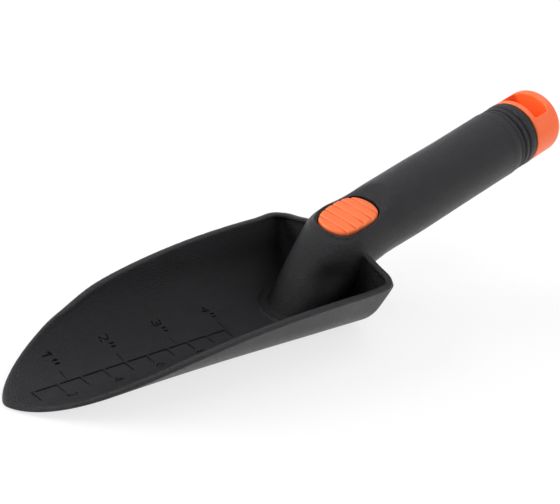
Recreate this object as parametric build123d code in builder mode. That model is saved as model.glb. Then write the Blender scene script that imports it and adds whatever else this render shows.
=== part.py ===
"""Hand trowel: a one-piece moulded scoop and hollow handle, a ribbed thumb pad and a slotted end cap.

Millimetres. +X runs from the blade's tip towards the handle, +Z is up, and the XZ plane is the plane of
symmetry. The origin is on the surface that the trowel lies on, halfway along it.
"""
from build123d import *
import math
import os

os.makedirs("parts", exist_ok=True)

# Blade: a trough with a flat floor, round corners and walls that lean outwards
floor_thickness = 2.0
wall = 2.2
wall_lean = 20.0
arc_turn = 90.0 - wall_lean
# distance from the tip, half-width of the flat floor, radius of the corner arcs
trough_stations = [(-6.0, 2.4, 26.0), (52.0, 2.0, 25.8), (110.0, 5.8, 22.5), (175.0, 11.8, 16.6)]
wall_top = 52.0
back_wall = 160.6
back_lean = 10.5
heel_radius = 7.0
lip_overhang = 0.7
lip_depth = 2.6
# cutting blocks reach this far past the blade
block_front = -20.0
block_back = 200.0
block_half_width = 60.0
block_bottom = -20.0
block_height = 80.0

# Rim: the outline of the tip seen from above, and the rim's height seen from the side
tip_outline = [(0.0, 0.0), (5.6, 8.3), (20.5, 18.6), (38.0, 25.4), (52.0, 29.5), (64.0, 33.0)]
rim_profile = [(0.0, 4.6), (30.0, 11.2), (45.0, 16.2), (80.0, 23.0), (120.0, 26.3), (150.0, 26.8)]
back_rim_start = 152.0
back_rim_corner = (32.0, 26.8)
back_rim_rise = 0.33

# Handle axis, in the plane of symmetry; distances along it are counted from the elbow
handle_angle = 17.44
elbow = (160.5, 28.8)
neck_angle = 58.0
neck_radius_top = 16.0
neck_radius_foot = 10.8
shoulder = 33.0
shoulder_radius = 15.0
grip_radius = 15.45
grip_end = 103.8
collar_radius = 15.3
ring_groove_depth = 0.6
ring_grooves = [(105.9, 106.9), (108.9, 109.9), (114.6, 115.4)]
handle_end = 116.0
elbow_clear = 40.0

# Hollows
bore_radius = 12.0
bore_start = 33.4
relief_radius = 6.0
relief_drop = 4.5
relief_start = 15.4
neck_core_radius = 8.0
neck_core_top = 12.0
neck_core_back = 154.0

# Thumb pad: a round button cut off by two straight sides, in a pocket in a saddle
saddle_height = 11.0
saddle_radius = 40.0
saddle_sweep = 40.0
saddle_flat_end = 8.8
pad_centre = 5.1
pad_radius = 12.8
pad_half_width = 9.9
pad_gap = 0.2
pocket_floor = 7.4
pad_edge_height = 11.8
pad_crown = 0.8
rib_pitch = 4.55
rib_groove_count = 5
rib_groove_width = 0.9
rib_groove_depth = 0.55
peg_radius = 2.5
peg_spacing = 12.0
peg_length = 4.0

# End cap with its hanging slot
cap_radius = 15.5
cap_length = 19.8
cap_edge_radius = 5.3
seam_width = 0.3
seam_radius = 14.9
slot_start = 2.9
slot_end = 12.6
slot_half_width = 9.9
slot_corner = 1.8
spigot_length = 15.0
spigot_wall = 2.0

# Moulded scale on the floor: centimetres towards -Y, inches towards +Y
scale_zero = 1.5
scale_depth = 0.4
scale_line = 0.6
centimetre = 10.0
inch = 25.4
centimetre_count = 10
inch_count = 4
centimetre_tick = 5.0
inch_tick_start = 1.3
inch_tick_end = 5.9
line_gap = 1.2

handle_cos = math.cos(math.radians(handle_angle))
handle_sin = math.sin(math.radians(handle_angle))
cap_end = handle_end + cap_length
# furthest point of the cap's rounded lower edge, counted from the tip
overall_length = (
    elbow[0]
    + (cap_end - cap_edge_radius) * handle_cos
    + (cap_radius - cap_edge_radius) * handle_sin
    + cap_edge_radius
)
tip_x = -overall_length / 2


def along(distance):
    """X of a point at this distance from the tip."""
    return tip_x + distance


def handle_plane(distance):
    """Plane across the handle at this distance from the elbow: its Y is the handle's upward direction."""
    origin = (
        along(elbow[0]) + distance * handle_cos,
        0,
        elbow[1] + distance * handle_sin,
    )
    return Plane(origin=origin, x_dir=(0, 1, 0), z_dir=(handle_cos, 0, handle_sin))


# Plane through the handle's axis: its X runs along the handle, its Y is the handle's upward direction
handle_side = Plane(
    origin=(along(elbow[0]), 0, elbow[1]),
    x_dir=(handle_cos, 0, handle_sin),
    z_dir=(0, -1, 0),
)
# Plane that holds the handle's axis and the Y direction, for what is cut straight through the handle
handle_side_flat = Plane(
    origin=(along(elbow[0]), 0, elbow[1]),
    x_dir=(handle_cos, 0, handle_sin),
    z_dir=(-handle_sin, 0, handle_cos),
)
handle_axis = Axis((along(elbow[0]), 0, elbow[1]), (handle_cos, 0, handle_sin))


def trough_section(distance, half_floor, radius, outwards, floor_level):
    """Closed section of the trough at one station; outwards grows it by that much on every side."""
    arc_radius = radius + outwards
    turn = math.radians(arc_turn)
    arc_end = (
        half_floor + arc_radius * math.sin(turn),
        floor_level + arc_radius * (1 - math.cos(turn)),
    )
    lean = math.tan(math.radians(wall_lean))
    top = (arc_end[0] + (wall_top - arc_end[1]) * lean, wall_top)
    half_turn = turn / 2
    arc_middle = (
        half_floor + arc_radius * math.sin(half_turn),
        floor_level + arc_radius * (1 - math.cos(half_turn)),
    )
    with BuildSketch(Plane(origin=(along(distance), 0, 0), x_dir=(0, 1, 0), z_dir=(1, 0, 0))) as section:
        with BuildLine():
            Line((-half_floor, floor_level), (half_floor, floor_level))
            ThreePointArc((half_floor, floor_level), arc_middle, arc_end)
            Line(arc_end, top)
            Line(top, (-top[0], top[1]))
            Line((-top[0], top[1]), (-arc_end[0], arc_end[1]))
            ThreePointArc(
                (-arc_end[0], arc_end[1]),
                (-arc_middle[0], arc_middle[1]),
                (-half_floor, floor_level),
            )
        make_face()
    return section.sketch


def trough(outwards, floor_level, back, corner_radius):
    """Solid that fills the trough, ending in an upright back with a rounded heel."""
    with BuildPart() as filled:
        for distance, half_floor, radius in trough_stations:
            add(trough_section(distance, half_floor, radius, outwards, floor_level))
        loft()
        lean = math.radians(back_lean)
        back_plane = Plane(
            origin=(along(back), 0, back_rim_corner[1]),
            x_dir=(0, 1, 0),
            z_dir=(math.cos(lean), 0, math.sin(lean)),
        )
        split(bisect_by=back_plane, keep=Keep.BOTTOM)
        back_face = filled.faces().filter_by(back_plane).sort_by(Axis.X)[-1]
        heel = back_face.edges().filter_by(lambda edge: edge.center().Z < wall_top - corner_radius)
        fillet(heel, radius=corner_radius)
    return filled.part


def below_rim(drop):
    """Everything under the rim, or under a line that is lower by drop."""
    with BuildPart() as region:
        with BuildSketch(Plane.XZ):
            with BuildLine():
                rim = Spline(*[(along(x), z - drop) for x, z in rim_profile])
                Polyline(
                    rim @ 1,
                    (along(block_back), rim_profile[-1][1] - drop),
                    (along(block_back), block_bottom),
                    (along(block_front), block_bottom),
                    (along(block_front), rim_profile[0][1] - drop),
                    rim @ 0,
                )
            make_face()
        extrude(amount=block_half_width, both=True)
        corner_y, corner_z = back_rim_corner
        with BuildSketch(Plane.YZ.offset(along(back_rim_start))):
            with BuildLine():
                Polyline(
                    (-corner_y, corner_z - drop),
                    (0, corner_z - drop + corner_y * back_rim_rise),
                    (corner_y, corner_z - drop),
                    (corner_y, 0),
                    (-corner_y, 0),
                    close=True,
                )
            make_face()
        extrude(amount=block_back - back_rim_start)
    return region.part


def tip_prism():
    """Upright block whose front is the outline of the blade's tip."""
    far = tip_outline[-1]
    with BuildPart() as block:
        with BuildSketch(Plane.XY.offset(block_bottom)):
            with BuildLine():
                one_side = [(along(x), y) for x, y in tip_outline]
                other_side = [(along(x), -y) for x, y in reversed(tip_outline[1:])]
                Spline(*other_side, *one_side)
                Polyline(
                    (along(far[0]), far[1]),
                    (along(far[0]), block_half_width),
                    (along(block_back), block_half_width),
                    (along(block_back), -block_half_width),
                    (along(far[0]), -block_half_width),
                    (along(far[0]), -far[1]),
                )
            make_face()
        extrude(amount=block_height)
    return block.part


# Scoop: the trough's outside less its inside, cut down to the rim, with a lip round the edge
inner_trough = trough(0, floor_thickness, back_wall - wall, heel_radius - wall)
outer_trough = trough(wall, 0, back_wall, heel_radius)
lip_trough = trough(wall + lip_overhang, -lip_overhang, back_wall + lip_overhang, heel_radius + lip_overhang)
under_rim = below_rim(0)
under_lip = below_rim(lip_depth)
tip_block = tip_prism()

with BuildPart() as scoop:
    add(outer_trough)
    add(under_rim, mode=Mode.INTERSECT)

with BuildPart() as lip:
    add(lip_trough)
    add(under_rim, mode=Mode.INTERSECT)
    add(under_lip, mode=Mode.SUBTRACT)


# Neck and handle, solid: a cone from the floor up to a ball at the elbow, and the grip beyond it
neck_direction = (-math.cos(math.radians(neck_angle)), 0, -math.sin(math.radians(neck_angle)))
neck_length = elbow[1] / math.sin(math.radians(neck_angle))
elbow_centre = (along(elbow[0]), 0, elbow[1])


def on_neck(distance):
    """Plane across the neck at this distance down from the elbow."""
    origin = tuple(centre + distance * step for centre, step in zip(elbow_centre, neck_direction))
    return Plane(origin=origin, x_dir=(0, 1, 0), z_dir=neck_direction)


with BuildPart() as neck:
    with BuildSketch(on_neck(0)):
        Circle(neck_radius_top)
    with BuildSketch(on_neck(neck_length + neck_radius_foot)):
        Circle(neck_radius_foot)
    loft()
    add(outer_trough, mode=Mode.INTERSECT)
    with Locations(elbow_centre):
        Sphere(neck_radius_top)

with BuildPart() as grip:
    with BuildSketch(handle_side):
        with BuildLine():
            Polyline(
                (0, 0),
                (0, neck_radius_top),
                (shoulder, shoulder_radius),
                (grip_end, grip_radius),
                (grip_end, collar_radius),
                (handle_end, collar_radius),
                (handle_end, 0),
                close=True,
            )
        make_face()
        for groove_start, groove_end in ring_grooves:
            with Locations(((groove_start + groove_end) / 2, collar_radius)):
                Rectangle(groove_end - groove_start, 2 * ring_groove_depth, mode=Mode.SUBTRACT)
    revolve(axis=handle_axis)

# Saddle: the top of the elbow is cut down to a flat that sweeps up to the grip at the back
with BuildPart() as saddle_cut:
    with BuildSketch(handle_side):
        with BuildLine():
            flat = Line((-elbow_clear, saddle_height), (saddle_flat_end, saddle_height))
            sweep_up = CenterArc(
                (saddle_flat_end, saddle_height + saddle_radius),
                saddle_radius,
                -90,
                saddle_sweep,
            )
            Polyline(
                sweep_up @ 1,
                (saddle_radius + elbow_clear, elbow_clear),
                (-elbow_clear, elbow_clear),
                flat @ 0,
            )
        make_face()
    extrude(amount=elbow_clear, both=True)


def pad_outline(gap):
    """Round button cut off by two straight sides, grown by gap."""
    with BuildSketch() as outline:
        Circle(pad_radius + gap)
        Rectangle(2 * (pad_radius + gap), 2 * (pad_half_width + gap), mode=Mode.INTERSECT)
    return outline.sketch


# Plane of the pocket floor: its X runs along the handle and its Z is the handle's upward direction
pad_plane = Plane(
    origin=(
        along(elbow[0]) + pad_centre * handle_cos - pocket_floor * handle_sin,
        0,
        elbow[1] + pad_centre * handle_sin + pocket_floor * handle_cos,
    ),
    x_dir=(handle_cos, 0, handle_sin),
    z_dir=(-handle_sin, 0, handle_cos),
)
peg_places = [(-peg_spacing / 2, 0), (peg_spacing / 2, 0)]

# Hollows: the handle's bore with a narrower relief at its end, and the neck's core, open underneath
with BuildPart() as bore:
    with BuildSketch(handle_plane(bore_start)):
        Circle(bore_radius)
    extrude(amount=handle_end - bore_start)
    with BuildSketch(handle_plane(relief_start)):
        with Locations((0, -relief_drop)):
            Circle(relief_radius)
    extrude(amount=bore_start - relief_start)

with BuildPart() as neck_core:
    with BuildSketch(on_neck(neck_core_top)):
        Circle(neck_core_radius)
    extrude(amount=neck_length)
    split(bisect_by=Plane.YZ.offset(along(neck_core_back)), keep=Keep.BOTTOM)

with BuildPart() as body:
    add(scoop)
    add(lip)
    add(inner_trough, mode=Mode.SUBTRACT)
    add(tip_block, mode=Mode.INTERSECT)
    add(neck)
    add(grip)
    add(saddle_cut, mode=Mode.SUBTRACT)
    add(bore, mode=Mode.SUBTRACT)
    add(neck_core, mode=Mode.SUBTRACT)
    with BuildSketch(pad_plane):
        add(pad_outline(pad_gap))
    extrude(amount=elbow_clear, mode=Mode.SUBTRACT)
    with BuildSketch(pad_plane):
        with Locations(*peg_places):
            Circle(peg_radius)
    extrude(amount=-peg_length, mode=Mode.SUBTRACT)
    # moulded scale, sunk into the floor
    scale_bottom = floor_thickness - scale_depth
    scale_plane = Plane(origin=(along(scale_zero), 0, scale_bottom), x_dir=(1, 0, 0), z_dir=(0, 0, 1))
    with BuildSketch(scale_plane):
        for mark in range(1, centimetre_count + 1):
            with Locations((mark * centimetre, -centimetre_tick / 2)):
                Rectangle(scale_line, centimetre_tick + scale_line)
        for mark in range(1, centimetre_count):
            with Locations(((mark + 0.5) * centimetre + line_gap / 2, 0)):
                Rectangle(centimetre - line_gap, scale_line)
        for mark in range(1, inch_count + 1):
            with Locations((mark * inch, (inch_tick_start + inch_tick_end) / 2)):
                Rectangle(scale_line, inch_tick_end - inch_tick_start)
    extrude(amount=scale_depth + wall, mode=Mode.SUBTRACT)
body.part.label = "body"
export_step(body.part, "parts/body.step")

# Thumb pad: crowned, ribbed across, with two pegs pressed into the pocket
pad_height = pad_edge_height - pocket_floor
crown_radius = (pad_radius**2 + pad_crown**2) / (2 * pad_crown)
with BuildPart() as thumb_pad:
    with BuildSketch(pad_plane):
        add(pad_outline(0))
    extrude(amount=pad_height + pad_crown)
    with BuildSketch(pad_plane):
        with Locations(*peg_places):
            Circle(peg_radius)
    extrude(amount=-peg_length)
    with Locations(pad_plane.offset(pad_height + pad_crown - crown_radius)):
        Sphere(crown_radius, mode=Mode.INTERSECT)
    with BuildSketch(pad_plane.offset(pad_height + pad_crown - rib_groove_depth)):
        with GridLocations(rib_pitch, 1, rib_groove_count, 1):
            Rectangle(rib_groove_width, 2 * pad_radius)
    extrude(amount=pad_crown + rib_groove_depth, mode=Mode.SUBTRACT)
thumb_pad.part.label = "thumb_pad"
export_step(thumb_pad.part, "parts/thumb_pad.step")

# End cap: a plug with a rounded end, a hanging slot straight through it and a hollow spigot in the bore
with BuildPart() as end_cap:
    with BuildSketch(handle_side):
        with BuildLine():
            Polyline(
                (handle_end, 0),
                (handle_end, seam_radius),
                (handle_end + seam_width, seam_radius),
                (handle_end + seam_width, cap_radius),
                (cap_end - cap_edge_radius, cap_radius),
            )
            RadiusArc(
                (cap_end - cap_edge_radius, cap_radius),
                (cap_end, cap_radius - cap_edge_radius),
                cap_edge_radius,
            )
            Polyline((cap_end, cap_radius - cap_edge_radius), (cap_end, 0), (handle_end, 0))
        make_face()
    revolve(axis=handle_axis)
    with BuildSketch(handle_side_flat):
        with Locations((handle_end + (slot_start + slot_end) / 2, 0)):
            RectangleRounded(slot_end - slot_start, 2 * slot_half_width, slot_corner)
    extrude(amount=2 * cap_radius, both=True, mode=Mode.SUBTRACT)
    with BuildSketch(handle_plane(handle_end - spigot_length)):
        Circle(bore_radius)
        Circle(bore_radius - spigot_wall, mode=Mode.SUBTRACT)
    extrude(amount=spigot_length)
end_cap.part.label = "end_cap"
export_step(end_cap.part, "parts/end_cap.step")
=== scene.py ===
import math
import bmesh
import bpy
import numpy as np
from mathutils import Matrix, Vector

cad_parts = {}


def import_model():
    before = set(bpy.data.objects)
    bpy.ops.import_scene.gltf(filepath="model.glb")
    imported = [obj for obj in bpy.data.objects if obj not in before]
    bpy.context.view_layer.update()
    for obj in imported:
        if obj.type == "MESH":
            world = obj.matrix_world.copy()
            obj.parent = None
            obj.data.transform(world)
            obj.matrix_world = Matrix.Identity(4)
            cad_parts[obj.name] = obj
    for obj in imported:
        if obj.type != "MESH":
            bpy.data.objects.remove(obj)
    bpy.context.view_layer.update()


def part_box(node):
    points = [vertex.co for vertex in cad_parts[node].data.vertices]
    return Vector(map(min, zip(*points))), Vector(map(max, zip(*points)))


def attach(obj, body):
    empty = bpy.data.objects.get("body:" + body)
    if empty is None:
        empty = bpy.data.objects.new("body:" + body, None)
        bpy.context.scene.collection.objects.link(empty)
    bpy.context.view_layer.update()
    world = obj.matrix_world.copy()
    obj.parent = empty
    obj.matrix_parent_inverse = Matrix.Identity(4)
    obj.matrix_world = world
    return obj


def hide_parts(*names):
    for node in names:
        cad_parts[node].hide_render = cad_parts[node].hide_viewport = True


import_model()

# Shapes are worked out in millimetres, in the row frame, and written to the meshes in metres.
MM = 0.001
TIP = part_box("body")[0].x / MM
WHITE = (1.0, 1.0, 1.0)
COOL_WHITE = (0.97, 0.93, 1.0)

# Blade
FLOOR_THICKNESS = 2.0
WALL = 2.2
WALL_LEAN = math.radians(20.0)
# distance from the tip, half-width of the flat floor, radius of the corner arcs
STATIONS = ((-6.0, 2.4, 26.0), (52.0, 2.0, 25.8), (110.0, 5.8, 22.5), (175.0, 11.8, 16.6))
TIP_OUTLINE = ((5.6, 8.3), (20.5, 18.6), (38.0, 25.4), (52.0, 29.5), (64.0, 33.0))
RIM_HEIGHTS = ((45.0, 16.2), (80.0, 23.0), (120.0, 26.3), (150.0, 26.8))
BACK = 160.6
BACK_LEAN = math.tan(math.radians(10.5))
HEEL_RADIUS = 7.4
OUTER_CORNER_RADIUS = 5.6
INNER_CORNER_RADIUS = 2.0
LIP_CORNER_RADIUS = 8.0
CORNER_Y = 32.0
CORNER_Z = 26.8
BACK_RIM_RISE = 0.33
CORNER_HUMP = 0.8
LIP_AT_TIP = 1.9
LIP_WIDTH = 3.0
LIP_HEIGHT = 2.1
LIP_PROUD = 0.45
LIP_SQUARENESS = 0.62

# Neck and handle
HANDLE_ANGLE = math.radians(17.44)
NECK_ANGLE = math.radians(58.0)
ELBOW = Vector((TIP + 160.5, 0.0, 28.8))
ALONG = Vector((math.cos(HANDLE_ANGLE), 0.0, math.sin(HANDLE_ANGLE)))
UP = Vector((-math.sin(HANDLE_ANGLE), 0.0, math.cos(HANDLE_ANGLE)))
ACROSS = Vector((0.0, 1.0, 0.0))
DOWN_NECK = Vector((-math.cos(NECK_ANGLE), 0.0, -math.sin(NECK_ANGLE)))
NECK_TOP = 16.0
NECK_FOOT = 10.8
NECK_LENGTH = 44.8
NECK_END_LEVEL = 1.3
NECK_TAPER = 1.4
SHOULDER = 33.0
SHOULDER_RADIUS = 15.15
GRIP_RADIUS = 15.55
GRIP_END = 103.8
COLLAR_RADIUS = 15.3
COLLAR_START = 99.5
RING_SEGMENTS = 144
CAP_SEGMENTS = 216
# middle, half-width and depth of each soft groove round the collar
RING_GROOVES = ((104.6, 0.6, 0.3), (107.3, 0.6, 1.0), (110.6, 0.5, 0.8), (115.3, 0.4, 0.45))
HANDLE_END = 116.0

# Saddle, pocket and pad
SADDLE_HEIGHT = 11.0
SADDLE_RADIUS = 40.0
SADDLE_SWEEP = math.radians(40.0)
SADDLE_FLAT_END = 8.8
PAD_CENTRE = 5.1
PAD_RADIUS = 12.8
PAD_HALF_WIDTH = 9.65
PAD_GAP = 0.55
POCKET_FLOOR = 7.4
PAD_EDGE_HEIGHT = 11.8
PAD_CROWN = 0.8
PAD_EDGE_RADIUS = 1.0
PAD_SOFTNESS = 4.2
RIB_PITCH = 4.55
RIB_GROOVE_WIDTH = 0.8
RIB_GROOVE_DEPTH = 0.85
PEG_RADIUS = 2.5
PEG_SPACING = 12.0
PEG_LENGTH = 4.0

# Hollows
BORE_RADIUS = 12.0
BORE_START = 33.4
RELIEF_RADIUS = 6.0
RELIEF_DROP = 4.5
RELIEF_START = 15.4
CORE_RADIUS = 8.0
CORE_TOP = 12.0
CORE_BACK = 154.0

# Shallow hollow in the neck's flank: how far down the neck and behind its axis it is, and its depth
HOLLOW_DOWN = 15.0
HOLLOW_MIDDLE = -9.0
HOLLOW_DEPTH = 2.6

# Slimmer underside of the handle, fuller top behind the pad
WAIST_DEPTH = 1.1
BACK_FULLNESS = 0.5

# Fine raised lines round the pocket and the neck's foot: height, place and width
POCKET_RIM_RISE = 0.8
POCKET_RIM_GAP = 1.7
POCKET_RIM_WIDTH = 0.5
FOOT_RIDGE_RISE = 1.1
FOOT_RIDGE_GAP = 4.0
FOOT_RIDGE_WIDTH = 0.42

# End cap
CAP_RADIUS = 15.35
CAP_LENGTH = 19.8
CAP_EDGE_RADIUS = 5.3
SLOT_START = 2.9
SLOT_END = 12.6
SLOT_HALF_WIDTH = 9.9
SLOT_CORNER = 1.8
SPIGOT_LENGTH = 15.0
SPIGOT_WALL = 2.0

# Moulded scale: centimetres towards -Y, inches towards +Y
SCALE_ZERO = 1.5
CENTIMETRE = 10.0
SCALE_DEPTH = 0.65
SCALE_LINE = 0.7
INCH_LINE = 0.45
INCH = 25.4
LINE_GAP = 1.2
# the line is cut a little deeper than the ticks, so that no two faces of the cuts coincide
LINE_DEEPER = 0.03
DOT_DEEPER = 0.06
TICK_Y = -2.53
TICK_LENGTH = 4.94
INCH_TICK_Y = 3.6
INCH_TICK_LENGTH = 4.6
INCH_FIGURE_Y = 13.4
FIGURE_ONE_Y = 13.2
INCH_FIGURE_SHIFT = -0.3
CENTIMETRE_FIGURE_Y = -7.9
CENTIMETRE_FIGURE_SHIFT = 0.9
DIGIT_HEIGHT = 4.2
DIGIT_WIDTH = 2.8

# Grids of the rebuilt meshes, triangles kept, and rounds of softening. The exported body has about 37000
# triangles more than BODY_TRIANGLES, from the collar and the cuts, and has to stay under 200000.
BODY_VOXEL = 0.4
CAP_VOXEL = 0.3
BODY_TRIANGLES = 150000
CAP_TRIANGLES = 90000
WALL_ROUNDS = 6
TIP_ROUNDS = 5
SADDLE_ROUNDS = 70
SADDLE_FRONT_ROUNDS = 90
FOOT_ROUNDS = 18
LAST_ROUNDS = 2
CAP_ROUNDS = 7


def smooth_step(value, low, high):
    share = np.clip((np.asarray(value, float) - low) / (high - low), 0.0, 1.0)
    return share * share * (3.0 - 2.0 * share)


def smooth_min(a, b, width):
    mix = np.clip(0.5 + 0.5 * (b - a) / width, 0.0, 1.0)
    return b * (1.0 - mix) + a * mix - width * mix * (1.0 - mix)


# ---------------------------------------------------------------- mesh tools
def mesh_object(name, points, faces):
    """Object from points in millimetres; coincident points are merged and normals face outwards."""
    data = bpy.data.meshes.new(name)
    data.from_pydata([tuple(p) for p in points], [], faces)
    made = bmesh.new()
    made.from_mesh(data)
    bmesh.ops.remove_doubles(made, verts=made.verts, dist=1e-4)
    bmesh.ops.dissolve_degenerate(made, dist=1e-5, edges=made.edges)
    bmesh.ops.recalc_face_normals(made, faces=made.faces)
    made.to_mesh(data)
    made.free()
    item = bpy.data.objects.new(name, data)
    bpy.context.scene.collection.objects.link(item)
    return item


def apply_modifiers(item):
    bpy.context.view_layer.update()
    graph = bpy.context.evaluated_depsgraph_get()
    data = bpy.data.meshes.new_from_object(item.evaluated_get(graph))
    item.modifiers.clear()
    old = item.data
    item.data = data
    bpy.data.meshes.remove(old)
    return item


def boolean(item, tool, operation="DIFFERENCE"):
    step = item.modifiers.new("boolean", "BOOLEAN")
    step.operation = operation
    step.solver = "EXACT"
    step.object = tool
    apply_modifiers(item)
    bpy.data.objects.remove(tool)
    return item


def join(items, name):
    """One object that holds the meshes of all the items."""
    whole = bmesh.new()
    for item in items:
        whole.from_mesh(item.data)
        bpy.data.objects.remove(item)
    data = bpy.data.meshes.new(name)
    whole.to_mesh(data)
    whole.free()
    made = bpy.data.objects.new(name, data)
    bpy.context.scene.collection.objects.link(made)
    return made


def trim(item, cuts):
    """Cuts a closed mesh at planes of (place, normal), drops the normal's side, and closes it."""
    trimmed = bmesh.new()
    trimmed.from_mesh(item.data)
    for place, normal in cuts:
        found = bmesh.ops.bisect_plane(
            trimmed, geom=trimmed.verts[:] + trimmed.edges[:] + trimmed.faces[:],
            plane_co=place, plane_no=normal, clear_outer=True,
        )
        rim = [g for g in found["geom_cut"] if isinstance(g, bmesh.types.BMEdge)]
        bmesh.ops.edgenet_fill(trimmed, edges=rim)
    bmesh.ops.recalc_face_normals(trimmed, faces=trimmed.faces)
    trimmed.to_mesh(item.data)
    trimmed.free()
    return item


def remesh(item, voxel):
    step = item.modifiers.new("remesh", "REMESH")
    step.mode = "VOXEL"
    step.voxel_size = voxel
    step.use_smooth_shade = True
    return apply_modifiers(item)


def thin_out(item, triangles):
    """Collapses edges until about this many triangles are left."""
    item.data.calc_loop_triangles()
    share = triangles / len(item.data.loop_triangles)
    if share < 1.0:
        step = item.modifiers.new("decimate", "DECIMATE")
        step.ratio = share
        apply_modifiers(item)
    return item


def read_points(data):
    points = np.empty(len(data.vertices) * 3)
    data.vertices.foreach_get("co", points)
    return points.reshape(-1, 3)


def soften(item, rounds, weight=None, pace=0.5):
    """Moves each vertex towards the middle of its neighbours; weight says how much, vertex by vertex."""
    data = item.data
    points = read_points(data)
    edges = np.empty(len(data.edges) * 2, np.int64)
    data.edges.foreach_get("vertices", edges)
    ends = edges.reshape(-1, 2)
    count = len(points)
    degree = np.bincount(edges, minlength=count).astype(float)
    degree[degree == 0] = 1.0
    share = np.full(count, pace) if weight is None else pace * weight(points)
    for _ in range(rounds):
        total = np.empty_like(points)
        for k in range(3):
            total[:, k] = np.bincount(ends[:, 0], points[ends[:, 1], k], count)
            total[:, k] += np.bincount(ends[:, 1], points[ends[:, 0], k], count)
        middle = total / degree[:, None]
        points += (middle - points) * share[:, None]
    data.vertices.foreach_set("co", points.ravel())
    data.update()
    return item


def revolve(name, outline, origin, axis, segments=144):
    """Closed solid from an outline of (distance along the axis, radius), from radius 0 to radius 0."""
    side = ACROSS
    other = axis.cross(side)
    points = []
    for distance, radius in outline:
        for k in range(segments):
            turn = 2 * math.pi * k / segments
            outwards = side * math.cos(turn) + other * math.sin(turn)
            points.append(origin + axis * distance + outwards * radius)
    faces = []
    for row in range(len(outline) - 1):
        for k in range(segments):
            after = (k + 1) % segments
            faces.append((
                row * segments + k,
                row * segments + after,
                (row + 1) * segments + after,
                (row + 1) * segments + k,
            ))
    return mesh_object(name, points, faces)


def prism(name, outline, x_dir, y_dir, origin, low, high):
    """Solid with this outline in the plane of x_dir and y_dir, from low to high along their normal."""
    normal = x_dir.cross(y_dir)
    count = len(outline)
    flat = [origin + x_dir * x + y_dir * y for x, y in outline]
    points = [p + normal * low for p in flat] + [p + normal * high for p in flat]
    faces = [tuple(range(count)), tuple(range(2 * count - 1, count - 1, -1))]
    faces += [(k, (k + 1) % count, count + (k + 1) % count, count + k) for k in range(count)]
    return mesh_object(name, points, faces)


def grid_faces(rows, columns, start=0):
    return [
        (start + i * columns + j, start + i * columns + j + 1,
         start + (i + 1) * columns + j + 1, start + (i + 1) * columns + j)
        for i in range(rows - 1)
        for j in range(columns - 1)
    ]


# ---------------------------------------------------------------- blade
station_at = np.array([s[0] for s in STATIONS])
half_floor_fit = np.polyfit(station_at, [s[1] for s in STATIONS], 3)
radius_fit = np.polyfit(station_at, [s[2] for s in STATIONS], 3)
rim_fit = np.polyfit([r[0] for r in RIM_HEIGHTS], [r[1] for r in RIM_HEIGHTS], 3)
outline_at = np.array([p[0] for p in TIP_OUTLINE])
outline_powers = np.array([0.5, 1.0, 1.5, 2.0])
outline_fit = np.linalg.lstsq(
    outline_at[:, None] ** outline_powers, np.array([p[1] for p in TIP_OUTLINE]), rcond=None
)[0]
arc_turn = math.pi / 2 - WALL_LEAN
section_steps = np.linspace(0.0, 70.0, 1401)


def section(distance, grown, level):
    """(y, z) of the trough's section from its middle up one side, at equal steps along it."""
    half_floor = np.polyval(half_floor_fit, distance)
    radius = np.polyval(radius_fit, distance) + grown
    turn = np.clip((section_steps - half_floor) / radius, 0.0, arc_turn)
    straight = np.maximum(section_steps - half_floor - radius * arc_turn, 0.0)
    y = np.minimum(section_steps, half_floor) + radius * np.sin(turn) + straight * math.sin(WALL_LEAN)
    z = level + radius * (1 - np.cos(turn)) + straight * math.cos(WALL_LEAN)
    return y, z


def lip_width(distance):
    return LIP_AT_TIP + (LIP_WIDTH - LIP_AT_TIP) * smooth_step(distance, 0.0, 60.0)


def lip_middle_line():
    """The lip's middle near the tip, as distance and y: the outline moved in by half the lip."""
    root = np.linspace(0.0, math.sqrt(75.0), 400)
    x = root ** 2
    y = (x[:, None] ** outline_powers) @ outline_fit
    slope_x, slope_y = np.gradient(x), np.gradient(y)
    length = np.hypot(slope_x, slope_y)
    inward = lip_width(x) / 2
    return x + inward * slope_y / length, y - inward * slope_x / length


lip_x, lip_y = lip_middle_line()
lip_x, lip_y = lip_x[lip_y > 0], lip_y[lip_y > 0]
nose = LIP_AT_TIP / 2


def lip_half_width_at(distance):
    """y of the lip's middle where the outline of the tip sets it; far away where the rim's height does."""
    root = np.sqrt(np.maximum(distance - nose, 0.0))
    return np.interp(root, np.sqrt(np.maximum(lip_x - nose, 0.0)), lip_y, left=0.0, right=90.0)


def rim_height(distance, y):
    tent = (CORNER_Y - np.abs(y)) * BACK_RIM_RISE * smooth_step(distance, 146.0, 157.0)
    hump = CORNER_HUMP * smooth_step(distance, 143.0, 155.0) * smooth_step(np.abs(y), 22.0, 33.0)
    return np.polyval(rim_fit, np.clip(distance, 40.0, 150.0)) + np.maximum(tent, 0.0) + hump


def rim_place(distance, grown, level):
    """How far up its section one surface of the blade goes: to the lip's middle or the rim's height."""
    y, z = section(distance, grown, level)
    height_left = rim_height(distance, y) - LIP_HEIGHT / 2 - z
    width_left = lip_half_width_at(distance) - y
    at_height = np.interp(0.0, -height_left, section_steps)
    at_outline = np.interp(0.0, -width_left, section_steps)
    return float(smooth_min(at_height, at_outline, 3.0))


COLUMNS = 81
FILLET_ROWS = 9
CAP_ROWS = 7


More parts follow.
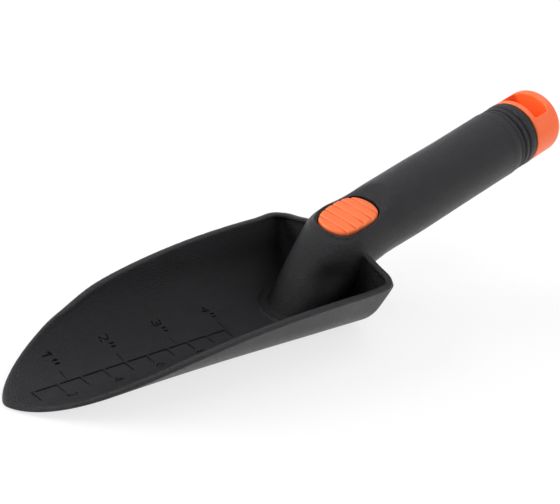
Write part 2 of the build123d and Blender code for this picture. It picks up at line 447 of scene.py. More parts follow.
def blade_surface(grown, level, back, corner):
    """Rows of points over one surface of the blade, from the tip to the heel and up the back wall."""
    share = np.linspace(-1.0, 1.0, COLUMNS)
    tip_rows = nose + (64.0 - nose) * np.linspace(0.0, 1.0, 30) ** 2
    plain_rows = np.linspace(64.0, back - corner, 40)[1:]
    turns = np.linspace(0.0, math.pi / 2, FILLET_ROWS)[1:]
    rows = [(d, 0.0) for d in np.concatenate([tip_rows, plain_rows])]
    rows += [(back - corner + corner * math.sin(t), corner * (1 - math.cos(t))) for t in turns]
    surface = []
    for distance, inset in rows:
        rim = rim_place(distance, grown - inset, level + inset)
        y, z = section(distance, grown - inset, level + inset)
        way = np.abs(share) * rim
        row_y = np.sign(share) * np.interp(way, section_steps, y)
        row_z = np.interp(way, section_steps, z)
        surface.append(np.column_stack([np.full(COLUMNS, distance), row_y, row_z]))
    last = surface[-1]
    top = rim_height(back, last[:, 1]) - LIP_HEIGHT / 2
    for k in range(1, CAP_ROWS):
        row = last.copy()
        row[:, 2] += (np.maximum(top, last[:, 2]) - last[:, 2]) * k / (CAP_ROWS - 1)
        surface.append(row)
    surface = np.array(surface)
    lean = smooth_step(surface[:, :, 0], 112.0, 152.0) * (CORNER_Z - surface[:, :, 2]) * BACK_LEAN
    surface[:, :, 0] += TIP + lean
    return surface


def sharper_upwards(grown, level, back, at_heel, at_rim):
    """Surface of the blade whose upright corners get sharper towards the rim."""
    low = blade_surface(grown, level, back, at_heel)
    high = blade_surface(grown, level, back, at_rim)
    share = smooth_step(low[:, :, 2:], 8.0, 24.0)
    return low * (1 - share) + high * share


outer = sharper_upwards(WALL, 0.0, BACK, HEEL_RADIUS, OUTER_CORNER_RADIUS)
inner = sharper_upwards(0.0, FLOOR_THICKNESS, BACK - WALL, HEEL_RADIUS - WALL, INNER_CORNER_RADIUS)


def blade_shell():
    rows = len(outer)
    count = rows * COLUMNS
    points = np.concatenate([outer.reshape(-1, 3), inner.reshape(-1, 3)])
    faces = grid_faces(rows, COLUMNS) + grid_faces(rows, COLUMNS, count)
    for edge in (0, COLUMNS - 1):
        for i in range(rows - 1):
            a, b = i * COLUMNS + edge, (i + 1) * COLUMNS + edge
            faces.append((a, b, count + b, count + a))
    top = (rows - 1) * COLUMNS
    faces += [(top + j, top + j + 1, count + top + j + 1, count + top + j) for j in range(COLUMNS - 1)]
    return mesh_object("blade_shell", points, faces)


def rim_path():
    """Middle of the lip's top, all the way round the blade."""
    wall_rows = len(outer) - CAP_ROWS + 1
    outside = blade_surface(WALL, 0.0, BACK, LIP_CORNER_RADIUS)
    inside = blade_surface(0.0, FLOOR_THICKNESS, BACK - WALL, LIP_CORNER_RADIUS - WALL)
    middle = (outside + inside) / 2
    one_side = middle[:wall_rows, COLUMNS - 1]
    over_back = middle[-1, COLUMNS - 2:COLUMNS // 2 - 1:-1]
    half = np.concatenate([one_side, over_back])
    steps = np.concatenate([[0.0], np.cumsum(np.linalg.norm(np.diff(half, axis=0), axis=1))])
    even = np.linspace(0.0, steps[-1], 320)
    half = np.column_stack([np.interp(even, steps, half[:, k]) for k in range(3)])
    other = half[-2:0:-1] * np.array([1.0, -1.0, 1.0])
    path = np.concatenate([half, other])
    distance = path[:, 0] - TIP
    evenly = 0.08 + 0.92 * smooth_step(distance, 10.0, 30.0) * smooth_step(distance, 135.0, 110.0)
    for _ in range(26):
        middle = (np.roll(path, 1, 0) + np.roll(path, -1, 0)) / 2
        path += (middle - path) * 0.5 * evenly[:, None]
    return path


def lip():
    """Rounded bead round the rim: a little prouder outside the wall than inside it."""
    path = rim_path()
    ahead = np.roll(path, -1, 0) - np.roll(path, 1, 0)
    ahead /= np.linalg.norm(ahead, axis=1)[:, None]
    up = np.array([0.0, 0.0, 1.0]) - ahead * ahead[:, 2:3]
    up /= np.linalg.norm(up, axis=1)[:, None]
    out = np.cross(up, ahead)
    middle = np.array([TIP + 90.0, 0.0, 0.0])
    flip = np.sign(np.sum(out * (path - middle) * np.array([1.0, 1.0, 0.0]), axis=1))
    out *= flip[:, None]
    distance = path[:, 0] - TIP
    half_width = lip_width(distance) / 2
    half_height = LIP_HEIGHT / 2 * (0.7 + 0.3 * smooth_step(distance, 0.0, 50.0))
    proud = LIP_PROUD * smooth_step(distance, 42.0, 66.0) * smooth_step(distance, 158.0, 140.0)
    centre = path + out * proud[:, None]
    centre[:, 2] = np.maximum(centre[:, 2], half_height + 0.02)
    turns = np.linspace(0.0, 2 * math.pi, 20, endpoint=False)
    across = np.sign(np.cos(turns)) * np.abs(np.cos(turns)) ** LIP_SQUARENESS
    upward = np.sign(np.sin(turns)) * np.abs(np.sin(turns)) ** LIP_SQUARENESS
    rings = (
        centre[:, None, :]
        + out[:, None, :] * (half_width[:, None] * across)[:, :, None]
        + up[:, None, :] * (half_height[:, None] * upward)[:, :, None]
    )
    count, sides = len(path), len(turns)
    faces = [
        (i * sides + j, i * sides + (j + 1) % sides,
         (i + 1) % count * sides + (j + 1) % sides, (i + 1) % count * sides + j)
        for i in range(count)
        for j in range(sides)
    ]
    return mesh_object("lip", rings.reshape(-1, 3), faces)


# ---------------------------------------------------------------- neck and handle
def saddle_tool():
    outline = [(-40.0, SADDLE_HEIGHT)]
    for turn in np.linspace(0.0, SADDLE_SWEEP, 24):
        outline.append((
            SADDLE_FLAT_END + SADDLE_RADIUS * math.sin(turn),
            SADDLE_HEIGHT + SADDLE_RADIUS * (1 - math.cos(turn)),
        ))
    outline += [(60.0, 40.0), (-40.0, 40.0)]
    return prism("saddle_tool", outline, ALONG, UP, ELBOW, -40.0, 40.0)


def neck_radius_at(down):
    return NECK_TOP + (NECK_FOOT - NECK_TOP) * (np.clip(down, 0.0, None) / NECK_LENGTH) ** NECK_TAPER


def neck():
    steps = np.linspace(0.0, NECK_LENGTH, 40)
    outline = [(0.0, 0.0)]
    outline += [(s, neck_radius_at(s)) for s in steps]
    outline.append((NECK_LENGTH, 0.0))
    cone = revolve("neck", outline, ELBOW, DOWN_NECK)
    cuts = (
        (Vector((0.0, 0.0, NECK_END_LEVEL)), Vector((0.0, 0.0, -1.0))),
        (Vector((TIP + BACK - WALL / 2, 0.0, CORNER_Z)), Vector((1.0, 0.0, BACK_LEAN))),
    )
    trim(cone, cuts)
    return boolean(cone, saddle_tool())


def elbow_ball():
    turns = np.linspace(0.0, math.pi, 61)
    outline = [(-NECK_TOP * math.cos(t), max(NECK_TOP * math.sin(t), 0.0)) for t in turns]
    outline[0] = (-NECK_TOP, 0.0)
    outline[-1] = (NECK_TOP, 0.0)
    return boolean(revolve("elbow_ball", outline, ELBOW, ALONG), saddle_tool())


def grip_radius_at(s):
    share = (s - SHOULDER) / (GRIP_END - SHOULDER)
    return SHOULDER_RADIUS + (GRIP_RADIUS - SHOULDER_RADIUS) * share * share


def grip():
    outline = [(0.0, 0.0)]
    for s in np.linspace(0.0, SHOULDER, 24):
        outline.append((s, NECK_TOP + (SHOULDER_RADIUS - NECK_TOP) * float(smooth_step(s, 0.0, 20.0))))
    outline += [(s, grip_radius_at(s)) for s in np.linspace(SHOULDER, COLLAR_START + 2.0, 60)[1:]]
    outline.append((COLLAR_START + 2.0, 0.0))
    return boolean(revolve("grip", outline, ELBOW, ALONG), saddle_tool())


def collar():
    """Turned end of the handle: a rounded step down from the grip, soft grooves and a prouder end."""
    distances = np.arange(COLLAR_START, HANDLE_END - 0.35, 0.15)
    step = smooth_step(distances, GRIP_END - 2.0, GRIP_END + 0.6)
    radii = grip_radius_at(distances) * (1 - step) + COLLAR_RADIUS * step
    for middle, half_width, depth in RING_GROOVES:
        radii -= depth * np.exp(-((distances - middle) / half_width) ** 2)
    radii += 0.02 * (1 - step) + 0.15 * smooth_step(distances, HANDLE_END - 5.0, HANDLE_END - 3.0)
    last = radii[-1]
    outline = [(COLLAR_START, 0.0)] + list(zip(distances, radii))
    for turn in np.linspace(0.0, math.pi / 2, 5):
        outline.append((HANDLE_END - 0.35 + 0.3 * math.sin(turn), last - 0.3 + 0.3 * math.cos(turn)))
    outline.append((HANDLE_END - 0.05, 0.0))
    return revolve("collar", outline, ELBOW, ALONG, RING_SEGMENTS)


# ---------------------------------------------------------------- surface details of the body
def in_handle_frame(points):
    """Distance along the handle from the elbow, y, and height over the handle's axis."""
    offset = points - np.array(ELBOW)
    return offset @ np.array(ALONG), points[:, 1], offset @ np.array(UP)


def off_neck(points):
    """Distance outside the neck's cone, and distance down the neck from the elbow."""
    offset = points - np.array(ELBOW)
    down = offset @ np.array(DOWN_NECK)
    radial = np.linalg.norm(offset - down[:, None] * np.array(DOWN_NECK), axis=1)
    return radial - neck_radius_at(down), down


def inside_pad(s, y):
    """Distance inside the pad's outline: a round button with two straight sides and soft corners."""
    return smooth_min(PAD_RADIUS - np.hypot(s, y), PAD_HALF_WIDTH - np.abs(y), PAD_SOFTNESS)


def off_pad(points):
    s, y, _ = in_handle_frame(points)
    return -inside_pad(s - PAD_CENTRE, y)


def below_rim(points):
    """1 on the walls and floor, less on the lip, so that the lip keeps crisp edges."""
    distance = points[:, 0] - TIP
    gap = rim_height(distance, points[:, 1]) - points[:, 2]
    inside = smooth_step(np.abs(points[:, 1]), 12.0, 16.0)
    return 1.0 - 0.6 * inside * smooth_step(gap, 6.0, 4.0) * smooth_step(distance, 45.0, 70.0)


def tip_weight(points):
    """1 at the tip, where the thin lip meets the wall at a slant and the grid leaves it rough."""
    return smooth_step(points[:, 0] - TIP, 60.0, 35.0)


def saddle_weight(points):
    s, y, h = in_handle_frame(points)
    at_elbow = smooth_step(s, -26.0, -18.0) * smooth_step(np.abs(y), 15.0, 9.0)
    return at_elbow * smooth_step(h, 4.5, 8.5) * smooth_step(s, 48.0, 38.0)


def saddle_front_weight(points):
    s, y, h = in_handle_frame(points)
    at_elbow = smooth_step(s, -26.0, -18.0) * smooth_step(np.abs(y), 15.0, 9.0)
    return at_elbow * smooth_step(h, 3.5, 8.0) * smooth_step(s, 3.0, -4.0)


def foot_weight(points):
    gap, down = off_neck(points)
    near = smooth_step(np.abs(gap), 7.0, 3.0)
    return near * smooth_step(points[:, 2], 15.0, 8.0) * smooth_step(down, 10.0, 18.0)


def shift(item, amount_and_way):
    points = read_points(item.data)
    points += amount_and_way(points)
    item.data.vertices.foreach_set("co", points.ravel())
    item.data.update()


def waist(points):
    """The handle is slimmer underneath where it leaves the blade, and fuller on top behind the pad."""
    s, _, h = in_handle_frame(points)
    below = WAIST_DEPTH * smooth_step(s, -4.0, 6.0) * smooth_step(s, 46.0, 14.0)
    above = BACK_FULLNESS * smooth_step(s, 14.0, 28.0) * smooth_step(s, 75.0, 45.0)
    below = below * smooth_step(h, 0.0, -8.0)
    above = above * smooth_step(h, 0.0, 8.0)
    return (below + above)[:, None] * np.array(UP)


def hollowed_flank(points):
    """The neck's flank on the -Y side has a shallow hollow beside its round front."""
    offset = points - np.array(ELBOW)
    down = offset @ np.array(DOWN_NECK)
    behind = offset @ np.array(DOWN_NECK.cross(ACROSS))
    gap, _ = off_neck(points)
    place = np.exp(-((down - HOLLOW_DOWN) / 6.0) ** 2 - ((behind - HOLLOW_MIDDLE) / 4.5) ** 2)
    on_flank = smooth_step(-points[:, 1], 2.0, 7.0)
    depth = HOLLOW_DEPTH * place * smooth_step(np.abs(gap), 4.0, 1.5) * on_flank
    return depth[:, None] * np.array(ACROSS)


def pocket_rim(points):
    """Thin raised edge that runs round the front of the pocket."""
    s, _, h = in_handle_frame(points)
    gap = off_pad(points)
    ahead = smooth_step(s, 12.0, 2.0)
    bump = np.exp(-((gap - POCKET_RIM_GAP) / POCKET_RIM_WIDTH) ** 2)
    rise = POCKET_RIM_RISE * bump * smooth_step(h, 5.0, 7.5) * ahead
    return rise[:, None] * np.array(UP)


def foot_ridge(points):
    """Fine raised line on the scoop's floor, a little way in front of the neck."""
    gap, down = off_neck(points)
    level = points[:, 2]
    on_floor = smooth_step(level, 1.2, 1.8) * smooth_step(level, 9.0, 5.0)
    ahead = smooth_step(points[:, 0] - TIP, 140.0, 134.0)
    bump = np.exp(-((gap - FOOT_RIDGE_GAP) / FOOT_RIDGE_WIDTH) ** 2)
    rise = FOOT_RIDGE_RISE * bump * on_floor * ahead * smooth_step(down, 15.0, 20.0)
    return rise[:, None] * np.array([0.0, 0.0, 1.0])


# ---------------------------------------------------------------- what is cut out of the body
def pad_outline(gap):
    """Outline of the pad grown by gap, in the plane it lies in."""
    reach = np.linspace(0.0, PAD_RADIUS + gap + 1.0, 600)
    outline = []
    for turn in np.linspace(0.0, 2 * math.pi, 180, endpoint=False):
        inside = inside_pad(reach * math.cos(turn), reach * math.sin(turn)) + gap
        radius = np.interp(0.0, -inside, reach)
        outline.append((PAD_CENTRE + radius * math.cos(turn), radius * math.sin(turn)))
    return outline


def rod(name, start, end, radius, axis=ALONG, origin=ELBOW, segments=96):
    return revolve(name, [(start, 0.0), (start, radius), (end, radius), (end, 0.0)], origin, axis, segments)


def peg_origin(side):
    return ELBOW + ALONG * (PAD_CENTRE + side * PEG_SPACING / 2)


def core_rod():
    core = rod("neck_core", CORE_TOP, CORE_TOP + NECK_LENGTH, CORE_RADIUS, DOWN_NECK)
    return trim(core, [(Vector((TIP + CORE_BACK, 0.0, 0.0)), Vector((1.0, 0.0, 0.0)))])


def floor_level(distance, y):
    """Height of the scoop's inner surface at this distance from the tip and this y."""
    across, level = section(distance, 0.0, FLOOR_THICKNESS)
    return float(np.interp(abs(y), across, level))


def sunk_to_floor(item, deeper=0.0):
    """Lays a flat mark over the scoop's floor: its underside goes just into it, its top well above."""
    for vertex in item.data.vertices:
        x, y, z = vertex.co
        level = floor_level(x - TIP, y)
        vertex.co.z = level - SCALE_DEPTH - deeper if z < 0 else level + 3.0 + 5.0 * deeper
    return item


def line_mark(x, y, length_x, length_y, deeper=0.0):
    """Straight engraved line, from its middle and its two lengths, x counted from the scale's zero.

    It is built in short steps, each with its own flat faces, so that it bends with the floor."""
    steps = max(2, int(max(length_x, length_y)) + 1)
    share = np.linspace(-0.5, 0.5, steps)
    if length_x > length_y:
        sides = [[(x + length_x * t, y + side * length_y / 2) for t in share] for side in (-1, 1)]
    else:
        sides = [[(x + side * length_x / 2, y + length_y * t) for t in share] for side in (-1, 1)]
    points = [
        (TIP + SCALE_ZERO + place_x, place_y, level)
        for level in (-1.0, 1.0)
        for side in sides
        for place_x, place_y in side
    ]
    under = [(i, i + 1, steps + i + 1, steps + i) for i in range(steps - 1)]
    over = [tuple(corner + 2 * steps for corner in face) for face in under]
    edges = [(i, i + 1) for i in range(steps - 1)] + [(steps + i, steps + i + 1) for i in range(steps - 1)]
    edges += [(0, steps), (steps - 1, 2 * steps - 1)]
    around = [(first, second, second + 2 * steps, first + 2 * steps) for first, second in edges]
    return sunk_to_floor(mesh_object("mark", points, under + over + around), deeper)


def glyph_mark(text, x, y):
    """Engraved character with its top towards +X, centred at x and y, x counted from the scale's zero."""
    curve = bpy.data.curves.new("glyph", "FONT")
    curve.body = text
    curve.extrude = 0.5
    curve.resolution_u = 4
    made = bpy.data.objects.new("glyph", curve)
    bpy.context.scene.collection.objects.link(made)
    bpy.context.view_layer.update()
    graph = bpy.context.evaluated_depsgraph_get()
    data = bpy.data.meshes.new_from_object(made.evaluated_get(graph))
    points = read_points(data)
    bpy.data.objects.remove(made)
    low, high = points.min(axis=0), points.max(axis=0)
    right = ((points[:, 0] - low[0]) / (high[0] - low[0]) - 0.5) * DIGIT_WIDTH
    up = ((points[:, 1] - low[1]) / (high[1] - low[1]) - 0.5) * DIGIT_HEIGHT
    placed = np.column_stack([TIP + SCALE_ZERO + x + up, y - right, np.sign(points[:, 2])])
    item = mesh_object("mark", placed, [tuple(face.vertices) for face in data.polygons])
    bpy.data.meshes.remove(data)
    return sunk_to_floor(item)


def figure_one(x, y):
    """Engraved figure 1: an upright stroke with a short flag, its top towards +X."""
    half = DIGIT_HEIGHT / 2
    outline = (
        (x - half, y - 0.45), (x - half, y + 0.45), (x + half - 1.35, y + 0.45),
        (x + half - 1.75, y + 1.25), (x + half - 1.0, y + 1.25), (x + half, y + 0.35),
        (x + half, y - 0.45),
    )
    origin = Vector((TIP + SCALE_ZERO, 0.0, 0.0))
    return sunk_to_floor(prism("mark", outline, Vector((1.0, 0.0, 0.0)), ACROSS, origin, -1.0, 1.0))


def scale_marks():
    """Marks in two sets for the two cuts: ticks and figures, and the broken line that the ticks meet."""
    marks, line = [], []
    for k in range(1, 11):
        marks.append(line_mark(CENTIMETRE * k, TICK_Y, SCALE_LINE, TICK_LENGTH + SCALE_LINE))
    for k in range(1, 10):
        middle = CENTIMETRE * k + CENTIMETRE / 2 + LINE_GAP / 2
        line.append(line_mark(middle, 0.0, CENTIMETRE - LINE_GAP, SCALE_LINE, LINE_DEEPER))
    for k in range(1, 5):
        marks.append(line_mark(INCH * k, INCH_TICK_Y, INCH_LINE, INCH_TICK_LENGTH))
        if k == 1:
            marks.append(figure_one(INCH + INCH_FIGURE_SHIFT, FIGURE_ONE_Y))
        else:
            marks.append(glyph_mark(str(k), INCH * k + INCH_FIGURE_SHIFT, INCH_FIGURE_Y))
        for side in (-0.75, 0.75):
            marks.append(line_mark(INCH * k + 1.3, 10.0 + side, 2.1, 0.8))
        place = 2 * CENTIMETRE * k + CENTIMETRE_FIGURE_SHIFT
        marks.append(glyph_mark(str(2 * k), place, CENTIMETRE_FIGURE_Y))
    marks.append(line_mark(INCH * 4, 0.1, 0.8, 0.8, DOT_DEEPER))
    return marks, line


def hollows():
    """Cutters in two sets for the two cuts; where two in a set touch, loose faces would be left."""
    pocket = prism("pocket", pad_outline(PAD_GAP), ALONG, ACROSS, ELBOW, POCKET_FLOOR - 0.05, 40.0)
    bore = rod("bore", BORE_START, HANDLE_END + 10.0, BORE_RADIUS + 0.05)
    relief = rod("relief", RELIEF_START, BORE_START + 1.0, RELIEF_RADIUS, ALONG, ELBOW - UP * RELIEF_DROP)
    peg_bottom = POCKET_FLOOR - PEG_LENGTH - 0.1
    pegs = [
        rod("peg_hole", peg_bottom, POCKET_FLOOR + 1.0, PEG_RADIUS + 0.05, UP, peg_origin(side))
        for side in (-1, 1)
    ]
    return [pocket, bore, core_rod()], [relief] + pegs


# ---------------------------------------------------------------- pieces
def body_mesh():
    whole = join([blade_shell(), lip(), neck(), elbow_ball(), grip()], "trowel_body")
    remesh(whole, BODY_VOXEL)
    soften(whole, WALL_ROUNDS, below_rim)
    soften(whole, TIP_ROUNDS, tip_weight)
    soften(whole, SADDLE_ROUNDS, saddle_weight)
    soften(whole, SADDLE_FRONT_ROUNDS, saddle_front_weight)
    soften(whole, FOOT_ROUNDS, foot_weight)
    shift(whole, waist)
    shift(whole, hollowed_flank)
    shift(whole, pocket_rim)
    shift(whole, foot_ridge)
    soften(whole, LAST_ROUNDS)
    thin_out(whole, BODY_TRIANGLES)
    boolean(whole, collar(), "UNION")
    for cutters, marks in zip(hollows(), scale_marks()):
        boolean(whole, join(cutters + marks, "cutters"))
    return whole


def pad_mesh():
    """Crowned button with five grooves across it, rounded edges and two pegs underneath."""
    rows, columns = 241, 97
    share = np.sin(np.linspace(-math.pi / 2, math.pi / 2, rows))
    share = 0.35 * share + 0.65 * np.linspace(-1.0, 1.0, rows)
    s = share * (PAD_RADIUS - 0.02)
    reach = np.linspace(0.0, PAD_HALF_WIDTH + 1.0, 800)
    width = [np.interp(0.0, -inside_pad(place, reach), reach) for place in s]
    across = np.sin(np.linspace(-math.pi / 2, math.pi / 2, columns))
    across = 0.5 * across + 0.5 * np.linspace(-1.0, 1.0, columns)
    grid_s = np.repeat(s[:, None], columns, axis=1)
    grid_y = np.array(width)[:, None] * across[None, :]
    inside = np.clip(inside_pad(grid_s, grid_y), 0.0, PAD_EDGE_RADIUS)
    from_middle = np.hypot(grid_s, grid_y)
    crown = PAD_CROWN * (1 - (from_middle / PAD_RADIUS) ** 2)
    rounding = np.maximum(PAD_EDGE_RADIUS ** 2 - (PAD_EDGE_RADIUS - inside) ** 2, 0.0)
    drop = PAD_EDGE_RADIUS - np.sqrt(rounding)
    fade = smooth_step(grid_y, -PAD_HALF_WIDTH + 0.2, -PAD_HALF_WIDTH + 1.2)
    grooves = np.zeros_like(grid_s)
    for k in range(-2, 3):
        grooves += np.exp(-((grid_s - k * RIB_PITCH) / (RIB_GROOVE_WIDTH / 2)) ** 2)
    deeper = 1.0 + 0.8 * smooth_step(np.abs(grid_y), 0.3 * PAD_HALF_WIDTH, PAD_HALF_WIDTH)
    height = PAD_EDGE_HEIGHT + crown - drop - RIB_GROOVE_DEPTH * grooves * fade * deeper
    base = ELBOW + ALONG * PAD_CENTRE
    points = []
    for level in (height, np.full_like(height, POCKET_FLOOR)):
        for i in range(rows):
            for j in range(columns):
                points.append(base + ALONG * grid_s[i, j] + ACROSS * grid_y[i, j] + UP * level[i, j])
    count = rows * columns
    edge = [j for j in range(columns)]
    edge += [i * columns + columns - 1 for i in range(1, rows)]
    edge += [(rows - 1) * columns + j for j in range(columns - 2, -1, -1)]
    edge += [i * columns for i in range(rows - 2, 0, -1)]
    faces = grid_faces(rows, columns) + grid_faces(rows, columns, count)
    faces += [
        (edge[k], edge[(k + 1) % len(edge)], count + edge[(k + 1) % len(edge)], count + edge[k])
        for k in range(len(edge))
    ]
    made = mesh_object("thumb_button", points, faces)
    pegs = [
        rod("peg", POCKET_FLOOR - PEG_LENGTH, POCKET_FLOOR + 1.0, PEG_RADIUS, UP, peg_origin(side), 48)
        for side in (-1, 1)
    ]
    return boolean(made, join(pegs, "pegs"), "UNION")


def rounded_slot():
    """Outline of the hanging slot, in the plane of the handle's axis and Y."""
    middle = HANDLE_END + (SLOT_START + SLOT_END) / 2
    half_length = (SLOT_END - SLOT_START) / 2
    outline = []
    for quarter, (side_s, side_y) in enumerate(((1, 1), (-1, 1), (-1, -1), (1, -1))):
        centre_s = middle + side_s * (half_length - SLOT_CORNER)
        centre_y = side_y * (SLOT_HALF_WIDTH - SLOT_CORNER)
        for turn in np.linspace(0.0, math.pi / 2, 9) + quarter * math.pi / 2:
            outline.append((
                centre_s + SLOT_CORNER * math.cos(turn),
                centre_y + SLOT_CORNER * math.sin(turn),
            ))
    return outline


def cap_mesh():
    """Round-ended cap with a hanging slot through it and a hollow spigot that plugs the bore."""
    end = HANDLE_END + CAP_LENGTH
    outer_radius = BORE_RADIUS
    inner_radius = BORE_RADIUS - SPIGOT_WALL
    bevel = 0.3
    outline = [
        (HANDLE_END + 0.6, 0.0),
        (HANDLE_END + 0.6, inner_radius),
        (HANDLE_END - SPIGOT_LENGTH, inner_radius),
        (HANDLE_END - SPIGOT_LENGTH, outer_radius),
        (HANDLE_END + 0.25, outer_radius),
        (HANDLE_END + 0.25, CAP_RADIUS - bevel),
    ]
    for turn in np.linspace(0.0, math.pi / 2, 6)[1:]:
        outline.append((
            HANDLE_END + 0.25 + bevel * (1 - math.cos(turn)),
            CAP_RADIUS - bevel + bevel * math.sin(turn),
        ))
    for turn in np.linspace(0.0, math.pi / 2, 24):
        outline.append((
            end - CAP_EDGE_RADIUS + CAP_EDGE_RADIUS * math.sin(turn),
            CAP_RADIUS - CAP_EDGE_RADIUS + CAP_EDGE_RADIUS * math.cos(turn),
        ))
    outline.append((end, 0.0))
    made = revolve("slotted_cap", outline, ELBOW, ALONG, CAP_SEGMENTS)
    boolean(made, prism("slot", rounded_slot(), ALONG, ACROSS, ELBOW, -30.0, 30.0))
    remesh(made, CAP_VOXEL)
    soften(made, CAP_ROUNDS)
    return thin_out(made, CAP_TRIANGLES)


def edge_share(item):
    """Stores on each vertex how sharply the surface turns outwards there, for the paler edges: partly wear,
    partly painted edge highlight.
    """
    data = item.data
    points = read_points(data)
    edges = np.empty(len(data.edges) * 2, np.int64)
    data.edges.foreach_get("vertices", edges)
    ends = edges.reshape(-1, 2)
    normals = np.empty(len(points) * 3)
    data.vertices.foreach_get("normal", normals)
    normals = normals.reshape(-1, 3)
    way = points[ends[:, 1]] - points[ends[:, 0]]
    length = np.maximum((way ** 2).sum(axis=1), 1e-4)
    turn = (way * (normals[ends[:, 1]] - normals[ends[:, 0]])).sum(axis=1) / length
    weight = np.sqrt(length)
    count = len(points)
    total = np.bincount(ends[:, 0], turn * weight, count) + np.bincount(ends[:, 1], turn * weight, count)
    share = np.bincount(ends[:, 0], weight, count) + np.bincount(ends[:, 1], weight, count)
    bend = total / np.maximum(share, 1e-6)
    layer = data.attributes.new("edge_share", "FLOAT", "POINT")
    layer.data.foreach_set("value", np.clip(bend / 1.2, 0.0, 1.0))


def finish_piece(item, node):
    edge_share(item)
    item.data.transform(Matrix.Scale(MM, 4))
    item.data.polygons.foreach_set("use_smooth", [True] * len(item.data.polygons))
    item.data.set_sharp_from_angle(angle=math.radians(38.0))
    item.data.update()
    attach(item, "root")
    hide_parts(node)
    return item


body = finish_piece(body_mesh(), "body")
pad = finish_piece(pad_mesh(), "thumb_pad")
cap = finish_piece(cap_mesh(), "end_cap")


# ---------------------------------------------------------------- materials
def plain(name, colour, roughness):
    made = bpy.data.materials.new(name)
    made.use_nodes = True
    shader = made.node_tree.nodes["Principled BSDF"]
    shader.inputs["Base Color"].default_value = (*colour, 1.0)
    shader.inputs["Roughness"].default_value = roughness
    return made


def wear(item, made):
    item.data.materials.clear()
    item.data.materials.append(made)


def moulded_plastic(name, colour, other, worn_and_highlight, rough_low, rough_high, grain, grain_depth):
    """Moulded plastic: fine grain in the surface, slow variation of colour and gloss, paler edges that are
    partly wear and partly painted highlight.
    """
    made = plain(name, colour, (rough_low + rough_high) / 2)
    tree = made.node_tree
    shader = tree.nodes["Principled BSDF"]
    shader.inputs["IOR"].default_value = 1.43
    place = tree.nodes.new("ShaderNodeTexCoord").outputs["Object"]

    def noise(scale, detail, roughness=0.55):
        node = tree.nodes.new("ShaderNodeTexNoise")
        node.inputs["Scale"].default_value = scale
        node.inputs["Detail"].default_value = detail
        node.inputs["Roughness"].default_value = roughness
        tree.links.new(place, node.inputs["Vector"])
        return node.outputs["Fac"]

    def ramp(source, low, high, low_value, high_value):
        node = tree.nodes.new("ShaderNodeMapRange")
        node.inputs["From Min"].default_value = low
        node.inputs["From Max"].default_value = high
        node.inputs["To Min"].default_value = low_value
        node.inputs["To Max"].default_value = high_value
        tree.links.new(source, node.inputs["Value"])
        return node.outputs["Result"]

    def blend_colour(share, first, second):
        node = tree.nodes.new("ShaderNodeMix")
        node.data_type = "RGBA"
        tree.links.new(share, node.inputs["Factor"])
        for socket, value in ((node.inputs[6], first), (node.inputs[7], second)):
            if isinstance(value, tuple):
                socket.default_value = (*value, 1.0)
            else:
                tree.links.new(value, socket)
        return node.outputs[2]

    cloud = noise(38.0, 4.0)
    speckle = noise(900.0, 2.0)
    # Paler colour on sharply convex edges, in patches: partly wear, partly painted edge highlight.
    edge = tree.nodes.new("ShaderNodeAttribute")
    edge.attribute_name = "edge_share"
    wear_and_highlight_share = tree.nodes.new("ShaderNodeMath")
    wear_and_highlight_share.operation = "MULTIPLY"
    tree.links.new(ramp(edge.outputs["Fac"], 0.12, 0.75, 0.0, 0.55), wear_and_highlight_share.inputs[0])
    tree.links.new(ramp(noise(260.0, 3.0), 0.42, 0.62, 0.0, 1.0), wear_and_highlight_share.inputs[1])
    tint = blend_colour(ramp(cloud, 0.35, 0.65, 0.0, 1.0), colour, other)
    tint = blend_colour(wear_and_highlight_share.outputs["Value"], tint, worn_and_highlight)
    tree.links.new(tint, shader.inputs["Base Color"])
    gloss = tree.nodes.new("ShaderNodeMath")
    gloss.operation = "ADD"
    tree.links.new(ramp(cloud, 0.3, 0.7, rough_low, rough_high), gloss.inputs[0])
    tree.links.new(ramp(speckle, 0.3, 0.7, -0.05, 0.05), gloss.inputs[1])
    tree.links.new(gloss.outputs["Value"], shader.inputs["Roughness"])

    fine = tree.nodes.new("ShaderNodeBump")
    fine.inputs["Distance"].default_value = grain_depth
    fine.inputs["Strength"].default_value = 1.0
    tree.links.new(noise(grain, 3.0, 0.6), fine.inputs["Height"])
    flow = tree.nodes.new("ShaderNodeBump")
    flow.inputs["Distance"].default_value = 0.00012
    flow.inputs["Strength"].default_value = 0.5
    tree.links.new(noise(70.0, 2.0), flow.inputs["Height"])
    tree.links.new(flow.outputs["Normal"], fine.inputs["Normal"])
    tree.links.new(fine.outputs["Normal"], shader.inputs["Normal"])
    return made


# The _WORN colours are paler colours for convex edges: partly wear, partly painted edge highlight.
CHARCOAL = (0.0050, 0.0047, 0.0054)
CHARCOAL_OTHER = (0.0075, 0.0070, 0.0078)
CHARCOAL_WORN_AND_HIGHLIGHT = (0.045, 0.043, 0.046)
PAD_ORANGE = (0.82, 0.157, 0.036)
PAD_ORANGE_OTHER = (0.86, 0.182, 0.046)
ORANGE = (1.0, 0.150, 0.028)
ORANGE_OTHER = (1.0, 0.174, 0.036)
ORANGE_WORN_AND_HIGHLIGHT = (1.0, 0.28, 0.11)

wear(body, moulded_plastic(
    "charcoal_plastic", CHARCOAL, CHARCOAL_OTHER, CHARCOAL_WORN_AND_HIGHLIGHT, 0.31, 0.40, 1900.0, 0.0007))
wear(pad, moulded_plastic(
    "orange_pad", PAD_ORANGE, PAD_ORANGE_OTHER, ORANGE_WORN_AND_HIGHLIGHT, 0.42, 0.5, 1400.0, 0.00002))
wear(cap, moulded_plastic(
    "orange_cap", ORANGE, ORANGE_OTHER, ORANGE_WORN_AND_HIGHLIGHT, 0.38, 0.46, 1400.0, 0.00002))


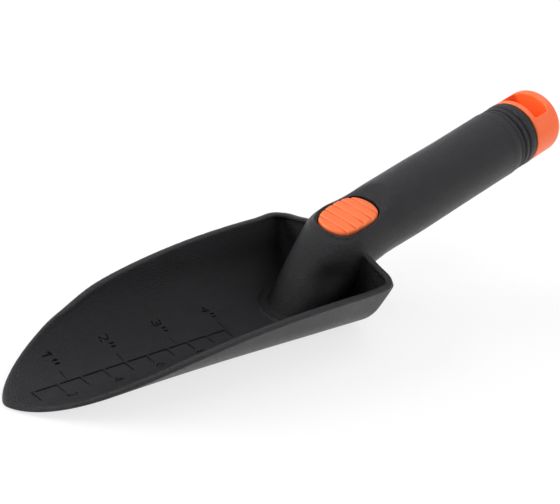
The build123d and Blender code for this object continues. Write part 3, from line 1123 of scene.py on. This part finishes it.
# ---------------------------------------------------------------- stage
def floor():
    size = 6.0
    data = bpy.data.meshes.new("floor")
    corners = [(-size, -size, 0), (size, -size, 0), (size, size, 0), (-size, size, 0)]
    data.from_pydata(corners, [], [(0, 1, 2, 3)])
    item = bpy.data.objects.new("floor", data)
    bpy.context.scene.collection.objects.link(item)
    pale = plain("pale_floor", (0.25, 0.25, 0.25), 0.9)
    shader = pale.node_tree.nodes["Principled BSDF"]
    shader.inputs["Emission Color"].default_value = (*WHITE, 1.0)
    shader.inputs["Emission Strength"].default_value = 0.73
    wear(item, pale)


def area_light(name, place, target, size, power):
    data = bpy.data.lights.new(name, "AREA")
    data.shape = "RECTANGLE"
    data.size, data.size_y = size
    data.energy = power
    item = bpy.data.objects.new(name, data)
    item.location = place
    item.rotation_euler = (Vector(place) - Vector(target)).to_track_quat("Z", "Y").to_euler()
    bpy.context.scene.collection.objects.link(item)


def world(strength):
    made = bpy.data.worlds.new("studio")
    made.use_nodes = True
    made.node_tree.nodes["Background"].inputs["Color"].default_value = (*COOL_WHITE, 1.0)
    made.node_tree.nodes["Background"].inputs["Strength"].default_value = strength
    bpy.context.scene.world = made


def camera():
    azimuth, elevation, roll = math.radians(-51.41), math.radians(26.24), math.radians(13.58)
    target = Vector((-22.80, 0.0, 32.11)) * MM
    distance = 470.55 * MM
    back = Vector((
        math.sin(azimuth) * math.cos(elevation),
        -math.cos(azimuth) * math.cos(elevation),
        math.sin(elevation),
    ))
    level = Vector((math.cos(azimuth), math.sin(azimuth), 0.0))
    above = back.cross(level)
    right = level * math.cos(roll) + above * math.sin(roll)
    top = above * math.cos(roll) - level * math.sin(roll)
    data = bpy.data.cameras.new("camera")
    data.sensor_width = 36.0
    data.lens = 77.14
    item = bpy.data.objects.new("camera", data)
    item.matrix_world = Matrix((right, top, back)).transposed().to_4x4()
    item.location = target + back * distance
    bpy.context.scene.collection.objects.link(item)
    bpy.context.scene.camera = item


floor()
world(0.68)
area_light("left", (-0.95, 1.0, 0.68), (0, 0, 0.03), (0.9, 0.8), 17.5)
area_light("right", (0.92, -0.92, 0.78), (0, 0, 0.03), (0.9, 0.9), 2.0)
area_light("overhead", (0.75, 0.0, 1.33), (0, 0, 0.03), (0.9, 0.9), 4.5)
camera()
bpy.context.scene.view_settings.view_transform = "Standard"
